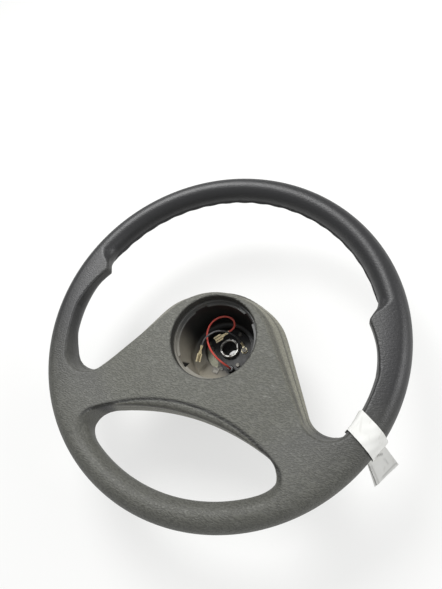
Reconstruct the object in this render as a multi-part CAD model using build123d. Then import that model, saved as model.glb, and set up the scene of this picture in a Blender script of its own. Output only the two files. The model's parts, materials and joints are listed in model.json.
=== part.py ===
from build123d import *
import os
from math import acos, atan2, cos, degrees, hypot, pi, radians, sin, sqrt, tan

# Car steering wheel, two spokes, foam moulded over a steel frame, horn pad missing.
# Millimetres. Z is the steering axis and points to the driver, Y points to twelve o'clock.
# The origin is on the axis, at the rear end of the splined hub sleeve.

# Rim
WHEEL_D = 380.0
RIM_W = 29.0
RIM_H = 29.0
RIM_Z = 95.0

# Finger band: a step on the rear inner side of the upper rim, scalloped for the fingers
BAND_RISE = 1.8
BAND_TOP = 3.5
BAND_LIP = 1.6
BAND_FOOT = 12.5
FINGER_R = 25.0
FINGER_DEPTH = 1.8
FINGER_COUNT = 20

# Spoke plate: a dished plate whose faces sweep up into the rim
FACE_RISE = 5.5
BACK_DROP = 24.0
FLAT_R = 112.0
LIP_R = 3.5
ARCH_LIP_R = 7.0

# Hub and spoke outline at the front face, and how it flares towards the back
HUB_WALL = 5.0
HUB_R = 65.0
HUB_FLARE = 9.5
SPOKE_SLOPE = 56.0
SPOKE_TURN = 5.0
SPOKE_FILLET = 28.0

# Thumb bump and the hollow grip below it
BUMP_DEG = 13.8
BUMP_RISE = 6.0
NOTCH_DEG = 4.0
GRIP_Y = -8.0
GRIP_HOLLOW = 2.3
GRIP_DRAFT = 3.0

# Lower opening: an arch above, the rim below, round ends
ARCH_TOP_Y = -82.0
ARCH_R = 166.0
ARCH_END_R = 22.0
ARCH_DRAFT = 2.0
ARCH_SEAT = 6.5

# Horn recess, set below the steering axis, and the plastic cup in it
RECESS_Y = -9.0
MOUTH_R = 45.0
MOUTH_DEPTH = 10.5
MOUTH_LIP_R = 1.0
CUP_SEAT = 1.0
CUP_TAPER = 6.0
CUP_WALL = 2.5
CUP_CORNER_R = 6.0
LEDGE_W = 3.0
LEDGE_H = 2.5
LEDGE_DROP = 6.0
SLOT_W = 15.0
SLOT_DEGS = (48.0, 132.0, 228.0, 312.0)
WELL_R = 26.5
WELL_Y = -2.0
WELL_H = 10.0
POST_GAP = 1.5

# Hub bell behind the spoke plate
BELL_TOP_WALL = 14.0
BELL_MID_WALL = 12.0
BELL_MID_Y = -4.0
BELL_END_WALL = 8.0
BELL_END_Z = 8.0
BACK_WELL_R = 34.0

# Steel frame
RING_BAR_R = 5.5
ARM_W = 24.0
ARM_T = 4.0
ARM_DEG = -37.5
ARM_BEND_R = 8.0
ARM_GAP = 3.0
ARM_RUN = 24.0
ARM_DROP = 10.0
PLATE_BED = 2.0
PLATE_T = 4.0
PLATE_Z = 25.0

# Splined sleeve
BORE_R = 8.25
SPLINE_COUNT = 24
SPLINE_W = 0.43
SPLINE_DEPTH = 0.6
SLEEVE_L = 34.0
SLEEVE_R = 11.25
SHOULDER_R = 15.0
SHOULDER_L = 13.0
NOSE_R = 12.5
SLEEVE_CHAMFER = 0.8

# Horn slip ring and its carrier, with two dogs that turn the indicator's cancelling ring
CARRIER_GAP = 0.5
CARRIER_EDGE = 1.0
CARRIER_T = 10.0
RING_IN_R = 24.5
RING_W = 5.0
RING_T = 2.0
RING_PROUD = 0.5
DOG_W = 9.0
DOG_T = 2.8
DOG_L = 6.0
RIVET_RING_R = 21.5
RIVET_DEGS = (72.0, 192.0, 312.0)
RIVET_R = 1.6
RIVET_HEAD_R = 2.6
RIVET_HEAD_H = 1.6
RIVET_EDGE = 0.6

# Contact post of the live lead, and the pin in it
POST_X = 11.0
POST_Y = -25.0
POST_R = 4.0
POST_FOOT_R = 2.9
POST_H = 14.5
POST_EDGE = 0.8
PIN_DROP = 2.0
PIN_FIT = 0.1

# Clip over the edge of the cup's floor
CLIP_DEG = 259.0
CLIP_W = 7.0
CLIP_T = 0.8
CLIP_REACH = 6.0
CLIP_FOOT = 5.0

# Earth screw and lug
EARTH_X = 16.8
EARTH_Y = 2.6
LUG_T = 0.8
LUG_R = 3.6
LUG_NECK_W = 2.6
LUG_BARREL_R = 1.5
EARTH_SCREW_R = 1.6
EARTH_HEAD_R = 2.9
EARTH_HEAD_H = 2.2
EARTH_SLOT_W = 0.9
EARTH_SLOT_D = 1.0

# Horn leads and their push-on terminals
RED_D = 2.2
DARK_D = 1.8
RED_BLADE_W = 7.4
DARK_BLADE_W = 5.6
BLADE_L = 9.0
BLADE_H = 2.6
BLADE_WALL = 0.6
BLADE_SLOT = 2.4
BARREL_L = 7.0
BARREL_WALL = 0.5
NECK_L = 3.5
NECK_W = 2.6
RED_ROUTE = [
    (11.0, -25.0, 41.5), (11.0, -25.0, 48.0), (5.2, -23.9, 53.4), (-4.0, -20.0, 57.0),
    (-12.5, -13.5, 59.5), (-19.0, -4.0, 61.5), (-21.5, 6.0, 63.5), (-19.5, 15.0, 65.0),
    (-14.0, 22.0, 66.0), (-6.5, 26.0, 65.5), (0.5, 27.0, 63.0), (5.6, 23.4, 59.2),
    (4.8, 17.8, 53.6), (0.0, 13.6, 52.2),
]
DARK_ROUTE = [
    (11.8, 9.4, 34.4), (9.8, 11.0, 40.2), (6.4, 11.6, 47.6), (1.2, 11.4, 55.4),
    (-4.6, 10.0, 61.8), (-10.0, 7.0, 66.0), (-15.6, 1.4, 67.6), (-21.7, -5.6, 65.1),
    (-22.5, -11.5, 61.5),
]
# Which way the open side of each terminal faces
RED_FACING = (0.25, -0.45, 0.86)
DARK_FACING = (0.45, -0.40, 0.80)

# Paper tag folded round the rim, where the right grip's edge stands in from the rim by TAG_SEAT,
# and no further than TAG_DROP past the start of the spoke's fillet
TAG_SEAT = 2.8
TAG_DROP = 7.0
TAG_SKEW = 13.5
TAG_W = 21.0
TAG_T = 0.4
TAG_PLAY = 0.8
TAG_REACH = 2.9
TAG_SLANT = 4.5
TAG_SAG = 4.5
TAG_CORNER_R = 3.0
FLAG_L = 25.0
FLAG_W = 15.0
FLAG_DIP = 60.0
FLAG_TURN = 25.0

# Worked-out sizes
RIM_R = WHEEL_D / 2 - RIM_W / 2
RIM_IN_R = RIM_R - RIM_W / 2
FACE_Z = RIM_Z + FACE_RISE
BACK_Z = RIM_Z - BACK_DROP
HUB_TOP_Y = RECESS_Y + MOUTH_R + HUB_WALL
PLATE_R = BACK_WELL_R + PLATE_BED
PLATE_TOP_Z = PLATE_Z + PLATE_T
CUP_R = MOUTH_R + CUP_SEAT
CUP_FOOT_R = CUP_R - CUP_TAPER
CUP_TOP_Z = FACE_Z - MOUTH_DEPTH
FLOOR_Z = PLATE_TOP_Z + WELL_H
BELL_TOP_R = CUP_R + BELL_TOP_WALL
CARRIER_IN_R = SHOULDER_R + CARRIER_GAP
CARRIER_OUT_R = BACK_WELL_R - CARRIER_EDGE
CARRIER_Z = PLATE_Z - CARRIER_T
RING_Z = CARRIER_Z - RING_PROUD
POST_TOP_Z = PLATE_TOP_Z + POST_H
PIN_R = RED_D / 2
# The cutters of the openings run past the plate's faces by this much
OVERRUN = 12.0


def polar(radius, degrees_from_x):
    """The point at a radius and an angle from X."""
    return (radius * cos(radians(degrees_from_x)), radius * sin(radians(degrees_from_x)))


def mirrored(points, side):
    """The points themselves, or their images across the Y axis for side -1."""
    return [(side * x, y) for x, y in points]


def draft(z):
    """How far a level lies from the front face towards the back: 0 at the face, 1 at the back."""
    return (FACE_Z - z) / (FACE_Z - BACK_Z)


def disc(x, y, z, radius, height):
    """A cylinder that stands on the level z."""
    return Pos(x, y, z) * Cylinder(radius, height, align=(Align.CENTER, Align.CENTER, Align.MIN))


def turned(*points):
    """The solid of revolution about Z of an outline given as radius and height."""
    return revolve(Plane.XZ * make_face(Polyline(*points, close=True)), axis=Axis.Z)


def grip_circle(depth):
    """The bump's tip, and how far out and how large the circle through it is that reaches out at GRIP_Y."""
    tip = polar(RIM_IN_R - BUMP_RISE - depth * GRIP_DRAFT, BUMP_DEG)
    reach = RIM_IN_R + GRIP_HOLLOW - depth * GRIP_DRAFT
    radius = ((reach - tip[0]) ** 2 + (tip[1] - GRIP_Y) ** 2) / (2 * (reach - tip[0]))
    return tip, reach, radius


def spoke_edge(depth):
    """A spoke's upper edge: the middle and end of the hub's arc, then the fillet's end, middle and start."""
    hub_y = HUB_TOP_Y - HUB_R
    hub_r = HUB_R + depth * HUB_FLARE
    slope = SPOKE_SLOPE + depth * SPOKE_TURN
    normal = (sin(radians(slope)), cos(radians(slope)))
    along = (cos(radians(slope)), -sin(radians(slope)))
    hub_mid = (hub_r * sin(radians(slope / 2)), hub_y + hub_r * cos(radians(slope / 2)))
    hub_end = (hub_r * normal[0], hub_y + hub_r * normal[1])
    tip, reach, grip_r = grip_circle(depth)
    grip_x = reach - grip_r
    # The fillet touches the spoke's edge and lies inside the grip's circle
    start = (hub_end[0] + SPOKE_FILLET * normal[0], hub_end[1] + SPOKE_FILLET * normal[1])
    to_start = (start[0] - grip_x, start[1] - GRIP_Y)
    b = to_start[0] * along[0] + to_start[1] * along[1]
    c = to_start[0] ** 2 + to_start[1] ** 2 - (grip_r - SPOKE_FILLET) ** 2
    run = -b + sqrt(b * b - c)
    centre = (start[0] + run * along[0], start[1] + run * along[1])
    spoke_end = (centre[0] - SPOKE_FILLET * normal[0], centre[1] - SPOKE_FILLET * normal[1])
    span = hypot(centre[0] - grip_x, centre[1] - GRIP_Y)
    out = ((centre[0] - grip_x) / span, (centre[1] - GRIP_Y) / span)
    grip_start = (grip_x + grip_r * out[0], GRIP_Y + grip_r * out[1])
    between = (out[0] - normal[0], out[1] - normal[1])
    half = hypot(*between)
    fillet_mid = (centre[0] + SPOKE_FILLET * between[0] / half, centre[1] + SPOKE_FILLET * between[1] / half)
    return hub_mid, hub_end, spoke_end, fillet_mid, grip_start


def upper_half(z, side):
    """One side of the upper opening's outline: hub arc, spoke, fillet, grip, bump and rim."""
    depth = draft(z)
    top = (0, HUB_TOP_Y + depth * HUB_FLARE)
    tip, reach, grip_r = grip_circle(depth)
    grip_mid = (reach, GRIP_Y)
    notch = polar(RIM_IN_R, BUMP_DEG + NOTCH_DEG)
    rim = polar(WHEEL_D / 2, BUMP_DEG + NOTCH_DEG)
    top, hub_mid, hub_end, spoke_end, fillet_mid, grip_start, grip_mid, tip, notch, rim = mirrored(
        [top, *spoke_edge(depth), grip_mid, tip, notch, rim], side
    )
    return [
        ThreePointArc(top, hub_mid, hub_end),
        Line(hub_end, spoke_end),
        ThreePointArc(spoke_end, fillet_mid, grip_start),
        ThreePointArc(grip_start, grip_mid, tip),
        Line(tip, notch),
        Line(notch, rim),
    ]


def upper_opening(z):
    """The upper opening at one level, out to the rim's outer edge."""
    right = upper_half(z, 1)
    left = upper_half(z, -1)
    over_the_top = ThreePointArc(right[-1] @ 1, (0, WHEEL_D / 2), left[-1] @ 1)
    return Pos(0, 0, z) * make_face(right + left + [over_the_top])


def arch_end_centre():
    """The middle of the lower opening's right round end, which touches both arch and rim circle."""
    arch_y = ARCH_TOP_Y - ARCH_R
    to_foot = RIM_R - ARCH_SEAT - ARCH_END_R
    to_arch = ARCH_R - ARCH_END_R
    end_y = (to_arch ** 2 - to_foot ** 2 - arch_y ** 2) / (-2 * arch_y)
    return (sqrt(to_foot ** 2 - end_y ** 2), end_y)


def lower_opening(z):
    """The lower opening at one level: arch, round ends and the rim's circle."""
    inset = draft(z) * ARCH_DRAFT
    arch_y = ARCH_TOP_Y - ARCH_R
    foot_r = RIM_R - ARCH_SEAT
    to_foot = foot_r - ARCH_END_R
    to_arch = ARCH_R - ARCH_END_R
    end_x, end_y = arch_end_centre()
    end_r = ARCH_END_R - inset
    arch_end = (end_x * (ARCH_R - inset) / to_arch, arch_y + (end_y - arch_y) * (ARCH_R - inset) / to_arch)
    foot_end = (end_x * (foot_r - inset) / to_foot, end_y * (foot_r - inset) / to_foot)
    tip = (end_x + end_r, end_y)
    ends = [
        ThreePointArc(*mirrored([arch_end, tip, foot_end], side)) for side in (1, -1)
    ]
    arch = ThreePointArc(arch_end, (0, ARCH_TOP_Y - inset), (-arch_end[0], arch_end[1]))
    foot = ThreePointArc(foot_end, (0, inset - foot_r), (-foot_end[0], foot_end[1]))
    return Pos(0, 0, z) * make_face(ends + [arch, foot])


def through_cut(section):
    """The cutter of an opening, drafted from its front outline to its back outline."""
    return loft([section(BACK_Z - OVERRUN), section(RIM_Z + RIM_H / 2 + OVERRUN)], ruled=True)


def spoke_plate():
    """The dished plate of hub, spokes and grips, with rounded front edges."""
    # The plate starts at the well, because the recess takes away everything inside it
    level = ((1, 0), (1, 0), (1, 0))
    front = Spline((WELL_R, FACE_Z), (FLAT_R, FACE_Z), (RIM_R, RIM_Z + RIM_H / 2), tangents=level)
    back = Spline((WELL_R, BACK_Z), (FLAT_R, BACK_Z), (RIM_R, RIM_Z - RIM_H / 2), tangents=level)
    outline = [front, Line(front @ 1, back @ 1), back, Line(back @ 0, front @ 0)]
    plate = revolve(Plane.YZ * make_face(outline), axis=Axis.Z)
    plate = plate - through_cut(upper_opening) - through_cut(lower_opening)
    plate = fillet(front_face(plate).inner_wires().sort_by(Axis.Y)[0].edges(), ARCH_LIP_R)
    return fillet([edge for edge in front_face(plate).outer_wire().edges() if on_spoke_edge(edge)], LIP_R)


def front_face(plate):
    """The largest of the faces that look to the driver."""
    return plate.faces().filter_by(lambda face: face.normal_at().Z > 0.5).sort_by(SortBy.AREA)[-1]


def on_spoke_edge(edge):
    """True for the edges of hub, spokes and grips, up to the tips of the bumps."""
    middle = edge @ 0.5
    radius = hypot(middle.X, middle.Y)
    on_rim = radius > RIM_R - GRIP_HOLLOW
    on_bump = radius > HUB_R + HUB_FLARE and middle.Y > RIM_IN_R * sin(radians(BUMP_DEG)) - BUMP_RISE
    on_seam = abs(middle.X) < HUB_WALL
    return not (on_rim or on_bump or on_seam)


def rim_body():
    """The plain round rim."""
    section = Plane.XZ * Pos(RIM_R, RIM_Z) * Ellipse(RIM_W / 2, RIM_H / 2)
    return revolve(section, axis=Axis.Z)


def finger_band():
    """The scalloped step behind the upper rim, from bump to bump."""
    start = BUMP_DEG + NOTCH_DEG
    span = 180 - 2 * start
    inner = RIM_IN_R - BAND_RISE
    section = Plane.XZ * make_face(
        Polyline(
            (RIM_R, RIM_Z - BAND_TOP),
            (RIM_IN_R, RIM_Z - BAND_TOP),
            (inner, RIM_Z - BAND_TOP - BAND_LIP),
            (inner, RIM_Z - BAND_FOOT + 2 * BAND_RISE),
            (RIM_IN_R + 2 * BAND_RISE, RIM_Z - BAND_FOOT),
            (RIM_R, RIM_Z - BAND_FOOT),
            close=True,
        )
    )
    band = Rot(0, 0, start) * revolve(section, axis=Axis.Z, revolution_arc=span)
    pitch = span / FINGER_COUNT
    reach = inner + FINGER_DEPTH - FINGER_R
    scallops = [
        Pos(*polar(reach, start + (n + 0.5) * pitch)) * Circle(FINGER_R) for n in range(FINGER_COUNT)
    ]
    cutter = extrude(Pos(0, 0, RIM_Z - RIM_H) * Sketch(scallops), RIM_H - BAND_TOP - BAND_LIP)
    return band - cutter


def hub_bell():
    """The bell that runs from the spoke plate back to the column."""
    rings = [
        Pos(0, RECESS_Y, BACK_Z) * Circle(BELL_TOP_R),
        Pos(0, BELL_MID_Y, FLOOR_Z) * Circle(CUP_FOOT_R + BELL_MID_WALL),
        Pos(0, 0, BELL_END_Z) * Circle(BACK_WELL_R + BELL_END_WALL),
    ]
    return loft(rings)


def cup_outline(wall):
    """The cup's outline on its own axis, drawn in from the outside by a wall."""
    bottom = FLOOR_Z - CUP_WALL + wall
    corners = Polyline(
        (0, CUP_TOP_Z),
        (CUP_R - wall, CUP_TOP_Z),
        (CUP_FOOT_R - wall, bottom),
        (0, bottom),
        close=True,
    )
    face = make_face(corners)
    foot = face.vertices().sort_by(Axis.Y)[:2].sort_by(Axis.X)[-1]
    return revolve(Plane.XZ * fillet(foot, CUP_CORNER_R - wall), axis=Axis.Z)


def cup_envelope():
    """The space that the cup takes out of the foam, hollow included."""
    return Pos(0, RECESS_Y, 0) * cup_outline(0)


def well(z, height):
    """The round well under the cup, with a lobe for the contact post."""
    lobe = disc(POST_X, POST_Y, z, POST_R + POST_GAP, height)
    return disc(0, WELL_Y, z, WELL_R, height) + lobe


def horn_cup():
    """The plastic cup: ledge with slots for the horn pad's clips, and a floor open over the hub."""
    inner_r = CUP_R - CUP_WALL
    ledge_z = CUP_TOP_Z - LEDGE_DROP
    wall = cup_outline(0) - cup_outline(CUP_WALL)
    ledge = disc(0, 0, ledge_z, inner_r, LEDGE_H) - disc(0, 0, ledge_z, inner_r - LEDGE_W, LEDGE_H)
    slot = Pos(inner_r - LEDGE_W / 2, 0, ledge_z + LEDGE_H / 2) * Box(2 * LEDGE_W, SLOT_W, LEDGE_H)
    slots = [Rot(0, 0, deg) * slot for deg in SLOT_DEGS]
    cup = wall + ((ledge - slots) & cup_outline(CUP_WALL / 2))
    return Pos(0, RECESS_Y, 0) * cup - well(FLOOR_Z - CUP_WALL, CUP_WALL)


def rim_ring():
    """The steel ring in the rim."""
    return revolve(Plane.XZ * Pos(RIM_R, RIM_Z) * Circle(RING_BAR_R), axis=Axis.Z)


def spoke_arm(deg):
    """A bent bar that climbs from the hub plate past the cup and out to the rim ring."""
    plate_mid = PLATE_Z + PLATE_T / 2
    line = FilletPolyline(
        (SHOULDER_R, 0, plate_mid),
        (CUP_FOOT_R + ARM_GAP, 0, plate_mid),
        (BELL_TOP_R, 0, BACK_Z),
        (BELL_TOP_R + ARM_RUN, 0, RIM_Z - ARM_DROP),
        (RIM_R, 0, RIM_Z),
        radius=ARM_BEND_R,
    )
    section = Plane(origin=line @ 0, x_dir=(0, 1, 0), z_dir=line % 0) * Rectangle(ARM_W, ARM_T)
    return Rot(0, 0, deg) * sweep(section, path=line) - rim_ring() - disc(0, 0, PLATE_Z, PLATE_R, PLATE_T)


def hub_sleeve():
    """The turned sleeve with its splined bore."""
    front_z = PLATE_Z
    shoulder_z = PLATE_Z - SHOULDER_L
    body = turned(
        (BORE_R, 0),
        (NOSE_R - SLEEVE_CHAMFER, 0),
        (NOSE_R, SLEEVE_CHAMFER),
        (NOSE_R, shoulder_z),
        (SHOULDER_R, shoulder_z),
        (SHOULDER_R, front_z),
        (SLEEVE_R, front_z),
        (SLEEVE_R, SLEEVE_L - SLEEVE_CHAMFER),
        (SLEEVE_R - SLEEVE_CHAMFER, SLEEVE_L),
        (BORE_R + SLEEVE_CHAMFER, SLEEVE_L),
        (BORE_R, SLEEVE_L - SLEEVE_CHAMFER),
    )
    groove = Pos(BORE_R, 0) * Rectangle(2 * SPLINE_DEPTH, SPLINE_W)
    splines = [Rot(0, 0, n * 360 / SPLINE_COUNT) * groove for n in range(SPLINE_COUNT)]
    return body - extrude(Sketch(splines), SLEEVE_L)


def slip_ring():
    """The flat brass ring that the horn brush runs on."""
    return disc(0, 0, RING_Z, RING_IN_R + RING_W, RING_T) - disc(0, 0, RING_Z, RING_IN_R, RING_T)


def rivets():
    """The rivets through carrier and hub plate, with flat rear heads and rounded front heads."""
    rivet = turned(
        (0, CARRIER_Z),
        (RIVET_HEAD_R, CARRIER_Z),
        (RIVET_HEAD_R, CARRIER_Z + RIVET_HEAD_H),
        (RIVET_R, CARRIER_Z + RIVET_HEAD_H),
        (RIVET_R, PLATE_TOP_Z),
        (RIVET_HEAD_R, PLATE_TOP_Z),
        (RIVET_HEAD_R, PLATE_TOP_Z + RIVET_HEAD_H - RIVET_EDGE),
        (RIVET_HEAD_R - RIVET_EDGE, PLATE_TOP_Z + RIVET_HEAD_H),
        (0, PLATE_TOP_Z + RIVET_HEAD_H),
    )
    return [Pos(*polar(RIVET_RING_R, deg)) * rivet for deg in RIVET_DEGS]


def feed_pin():
    """The pin from the slip ring up into the contact post."""
    foot = RING_Z + RING_T
    return disc(POST_X, POST_Y, foot, PIN_R, POST_TOP_Z - PIN_DROP - foot)


def contact_post():
    """The insulating post on the hub plate, its foot through the plate."""
    bore = PIN_R + PIN_FIT
    post = turned(
        (bore, PLATE_Z),
        (POST_FOOT_R, PLATE_Z),
        (POST_FOOT_R, PLATE_TOP_Z),
        (POST_R, PLATE_TOP_Z),
        (POST_R, POST_TOP_Z - POST_EDGE),
        (POST_R - POST_EDGE, POST_TOP_Z),
        (bore, POST_TOP_Z),
    )
    return Pos(POST_X, POST_Y, 0) * post


def contact_carrier():
    """The plastic ring behind the hub plate: groove for the slip ring, two rear dogs."""
    body = disc(0, 0, CARRIER_Z, CARRIER_OUT_R, CARRIER_T)
    dogs = disc(0, 0, CARRIER_Z - DOG_L, CARRIER_OUT_R, DOG_L)
    dogs = dogs - disc(0, 0, CARRIER_Z - DOG_L, CARRIER_OUT_R - DOG_T, DOG_L)
    dogs = dogs & (Pos(0, 0, CARRIER_Z - DOG_L / 2) * Box(2 * CARRIER_OUT_R, DOG_W, DOG_L))
    bore = disc(0, 0, CARRIER_Z, CARRIER_IN_R, CARRIER_T)
    pin_hole = disc(POST_X, POST_Y, CARRIER_Z, PIN_R + PIN_FIT, CARRIER_T)
    return body + dogs - bore - pin_hole - slip_ring() - rivets()


def earth_screw():
    """The slotted screw that holds the earth lug to the hub plate."""
    seat = PLATE_TOP_Z + LUG_T
    shank = disc(EARTH_X, EARTH_Y, PLATE_Z, EARTH_SCREW_R, PLATE_T + LUG_T)
    head = disc(EARTH_X, EARTH_Y, seat, EARTH_HEAD_R, EARTH_HEAD_H)
    slot = Pos(EARTH_X, EARTH_Y, seat + EARTH_HEAD_H) * Rot(0, 0, ARM_DEG)
    return shank + head - slot * Box(2 * EARTH_HEAD_R, EARTH_SLOT_W, 2 * EARTH_SLOT_D)


def earth_lug():
    """The ring lug under the screw, with a bent-up barrel that ends at the dark lead."""
    start, follow = (Vector(*point) for point in DARK_ROUTE[:2])
    aim = (follow - start).normalized()
    mid_z = PLATE_TOP_Z + LUG_T / 2
    reach = (start.Z - mid_z) / aim.Z
    foot = start - aim * reach
    ring = disc(EARTH_X, EARTH_Y, PLATE_TOP_Z, LUG_R, LUG_T)
    neck_line = Line((EARTH_X, EARTH_Y, mid_z), foot)
    across = Plane(origin=neck_line @ 0, x_dir=(0, 0, 1), z_dir=neck_line % 0)
    neck = sweep(across * Rectangle(LUG_T, LUG_NECK_W), path=neck_line)
    barrel = extrude(Plane(origin=foot, z_dir=aim) * Circle(LUG_BARREL_R), reach)
    below = disc(foot.X, foot.Y, PLATE_Z, 2 * LUG_BARREL_R, PLATE_T)
    return ring + neck + barrel - below - earth_screw()


def hub_plate():
    """The steel plate round the sleeve, holed for rivets, post and screw."""
    plate = disc(0, 0, PLATE_Z, PLATE_R, PLATE_T) - disc(0, 0, PLATE_Z, SLEEVE_R, PLATE_T)
    post_hole = disc(POST_X, POST_Y, PLATE_Z, POST_FOOT_R, PLATE_T)
    return plate - post_hole - rivets() - earth_screw()


def cup_clip():
    """A bent strip that hooks the edge of the cup's floor to the hub plate."""
    edge_r = WELL_R - CLIP_T / 2
    foot_z = PLATE_TOP_Z + CLIP_T / 2
    top_z = FLOOR_Z + CLIP_T / 2
    line = Polyline(
        (edge_r - CLIP_FOOT, 0, foot_z),
        (edge_r, 0, foot_z),
        (edge_r, 0, top_z),
        (edge_r + CLIP_REACH, 0, top_z),
    )
    section = Plane(origin=line @ 0, x_dir=(0, 1, 0), z_dir=line % 0) * Rectangle(CLIP_W, CLIP_T)
    strip = sweep(section, path=line, transition=Transition.RIGHT)
    hooked = Pos(0, WELL_Y, 0) * Rot(0, 0, CLIP_DEG) * strip
    return hooked & (disc(0, WELL_Y, 0, WELL_R, FLOOR_Z) + disc(0, WELL_Y, FLOOR_Z, 2 * WELL_R, CLIP_T))


def lead(name, route, diameter):
    """A lead as a round tube: straight runs joined by arcs as large as the runs allow."""
    points = [Vector(*point) for point in route]
    runs = [after - before for before, after in zip(points, points[1:])]
    radii = []
    for run, following in zip(runs, runs[1:]):
        half_turn = radians(run.get_angle(following) / 2)
        radii.append(0.45 * min(run.length, following.length) * cos(half_turn) / sin(half_turn))
    print(name, "radii", [round(radius, 1) for radius in radii])
    line = FilletPolyline(*route, radius=radii)
    tube = sweep(Plane(origin=line @ 0, z_dir=line % 0) * Circle(diameter / 2), path=line)
    section = pi * diameter ** 2 / 4
    share = tube.volume / (section * line.length)
    print(name, "length", round(line.length, 1), "volume share", round(share, 4))
    return tube


def terminal(route, facing, lead_d, width):
    """A push-on receptacle: crimp barrel on the lead's end, neck, and a blade box with rolled edges."""
    before, end = (Vector(*point) for point in route[-2:])
    aim = (end - before).normalized()
    side = Vector(*facing).cross(aim).normalized()
    place = Plane(origin=end, x_dir=side, z_dir=aim)
    barrel = extrude(Circle(lead_d / 2 + BARREL_WALL), BARREL_L)
    low = -BLADE_H / 2
    neck = Pos(0, low + BLADE_WALL / 2, BARREL_L - BARREL_WALL) * Box(
        NECK_W, BLADE_WALL, NECK_L + 2 * BARREL_WALL, align=(Align.CENTER, Align.CENTER, Align.MIN)
    )
    box = fillet(Rectangle(width, BLADE_H).vertices(), BLADE_H / 3)
    hollow = Rectangle(width - 2 * BLADE_WALL, BLADE_H - 2 * BLADE_WALL)
    slot = Pos(0, BLADE_H / 2) * Rectangle(BLADE_SLOT, BLADE_H)
    blade = Pos(0, 0, BARREL_L + NECK_L) * extrude(box - hollow - slot, BLADE_L)
    return place * (barrel + neck + blade)


def tag_loop(play, side):
    """The tag's loop round the rim's section at one edge of the strip, with some play all round."""
    skew = radians(TAG_SKEW)
    centre = -side * TAG_W / 2 * tan(skew)
    half_w = RIM_W / 2 / cos(skew) + play
    half_h = RIM_H / 2 + play
    fold = -RIM_W / 2 - TAG_REACH - play
    low_fold = (fold - TAG_SLANT, -half_h - TAG_SAG)
    loop = [
        EllipticalCenterArc((centre, 0), half_w, half_h, start_angle=-90, arc_size=180),
        Line((centre, half_h), (fold, half_h)),
        Line((fold, half_h), low_fold),
        Line(low_fold, (centre, -half_h)),
    ]
    face = make_face(loop)
    face = fillet(face.vertices().sort_by(Axis.X)[:2], TAG_CORNER_R + play)
    return Plane(origin=(0, side * TAG_W / 2, 0), x_dir=(1, 0, 0), z_dir=(0, -1, 0)) * face


def tag_degrees():
    """The angle below the right grip at which the tag is clear of grip and spoke."""
    tip, reach, grip_r = grip_circle(0)
    grip_x = reach - grip_r
    offset = hypot(grip_x, GRIP_Y)
    edge_r = RIM_IN_R - TAG_SEAT
    turn = acos((edge_r ** 2 + offset ** 2 - grip_r ** 2) / (2 * edge_r * offset))
    seat = atan2(GRIP_Y, grip_x) - turn
    fillet_x, fillet_y = spoke_edge(1)[-1]
    return degrees(max(seat, atan2(fillet_y, fillet_x) - TAG_DROP / RIM_IN_R))


def tag_core(play):
    """The space inside the tag's loop, from one edge of the strip to the other."""
    return loft([tag_loop(play, 1), tag_loop(play, -1)], ruled=True)


def paper_tag():
    """A strip of paper pulled slantwise round the rim, its two ends stuck together as a flag."""
    start = RIM_W / 2 * cos(radians(FLAG_DIP))
    start_z = -(RIM_H / 2 + TAG_PLAY + TAG_T / 2) * sin(radians(FLAG_DIP))
    flag = Pos(start, 0, start_z) * Rot(0, FLAG_DIP, 0) * Rot(0, 0, -FLAG_TURN) * Box(
        FLAG_L, FLAG_W, 2 * TAG_T, align=(Align.MIN, Align.CENTER, Align.CENTER)
    )
    strip = tag_core(TAG_PLAY + TAG_T) + flag - tag_core(TAG_PLAY)
    place = tag_degrees()
    return Pos(*polar(RIM_R, place), RIM_Z) * Rot(0, 0, place - TAG_SKEW) * strip


def moulded_cover(frame):
    """The foam moulding: rim, finger band, spoke plate and bell, less the recess and the steel frame."""
    foam = rim_body() + finger_band() + spoke_plate() + hub_bell()
    mouth = disc(0, RECESS_Y, CUP_TOP_Z, MOUTH_R, RIM_H)
    shaft = well(PLATE_TOP_Z, WELL_H - CUP_WALL)
    back_well = disc(0, 0, BELL_END_Z, BACK_WELL_R, PLATE_Z - BELL_END_Z)
    foam = foam - mouth
    lip = foam.edges().filter_by(on_mouth_lip)
    return fillet(lip, MOUTH_LIP_R) - cup_envelope() - shaft - back_well - frame


def rim_zone(start, end):
    """The space round the rim between two angles, clear of hub and spokes."""
    inner = (RIM_IN_R - ARCH_TOP_Y) / 2
    section = Plane.XZ * Pos((inner + WHEEL_D) / 2, RIM_Z) * Rectangle(WHEEL_D - inner, 2 * RIM_Z)
    return Rot(0, 0, start) * revolve(section, axis=Axis.Z, revolution_arc=end - start)


def hub_zone(low_y, low_z, high_z):
    """The space round the hub between two levels, above the lower opening's round ends."""
    corner = (Align.CENTER, Align.MIN, Align.MIN)
    return Pos(0, low_y, low_z) * Box(2 * (HUB_R + HUB_FLARE), WHEEL_D, high_z - low_z, align=corner)


def side_zone(side):
    """Everything on one side of the wheel's middle plane."""
    return Pos(side * WHEEL_D / 2, 0, RIM_Z) * Box(WHEEL_D, 2 * WHEEL_D, 2 * RIM_Z)


def cover_pieces(cover):
    """The cover in simple pieces that meet face to face, so that none bends round an opening."""
    bump_end = BUMP_DEG + NOTCH_DEG
    end_x, end_y = arch_end_centre()
    arch_end = degrees(atan2(end_y, end_x))
    top = rim_zone(bump_end, 180 - bump_end)
    bottom = rim_zone(180 - arch_end, 360 + arch_end)
    middle = cover - top - bottom
    front_z = RIM_Z + RIM_H
    spokes = middle - hub_zone(end_y, 0, front_z)
    return {
        "cover_rim_top": cover & top,
        "cover_rim_bottom": cover & bottom,
        "cover_spoke_left": spokes & side_zone(-1),
        "cover_spoke_right": spokes & side_zone(1),
        "cover_hub": middle & hub_zone(end_y, BACK_Z, front_z),
        "cover_bell": middle & hub_zone(end_y, PLATE_Z, BACK_Z),
        "cover_skirt": middle & hub_zone(end_y, 0, PLATE_Z),
    }


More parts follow.
